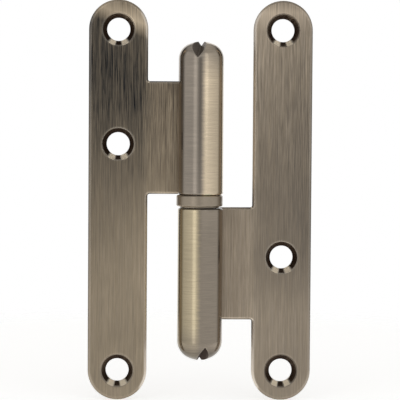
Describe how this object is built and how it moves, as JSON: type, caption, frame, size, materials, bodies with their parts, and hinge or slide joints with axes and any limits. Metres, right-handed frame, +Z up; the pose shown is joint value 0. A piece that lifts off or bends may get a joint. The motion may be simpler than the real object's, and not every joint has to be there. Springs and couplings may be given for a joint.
{
  "type": "lift-off hinge",
  "caption": "Lift-off door hinge: flat round-ended leaves with rolled, dome-ended knuckles that turn on a fixed pin over a thrust washer, brushed antique brass.",
  "frame": {"origin": "on the pin's axis at the hinge's mid-height, which is the centre of its box when it is open flat", "axes": "+Z up along the pin, towards the door leaf's knuckle; +X towards the frame's leaf; -Y is the side of the screw heads"},
  "size_m": [0.053, 0.0108, 0.095],
  "materials": {
    "plated_sheet": "steel sheet with a brushed and lacquered antique brass plate",
    "plated_ring": "turned steel ring with a satin antique brass plate",
    "pin_steel": "bright drawn steel"
  },
  "bodies": {
    "frame_half": {"frame_leaf": "plated_sheet", "hinge_pin": "pin_steel"},
    "washer": {"thrust_washer": "plated_ring"},
    "door_half": {"door_leaf": "plated_sheet"}
  },
  "joints": [
    {"name": "swing", "type": "hinge", "parent": "frame_half", "child": "washer", "pos_m": [0, 0, 0], "axis": [0, 0, 1], "range_deg": [-130, 180]},
    {"name": "lift_off", "type": "slide", "parent": "washer", "child": "door_half", "axis": [0, 0, 1], "range_m": [0, 0.032]}
  ]
}
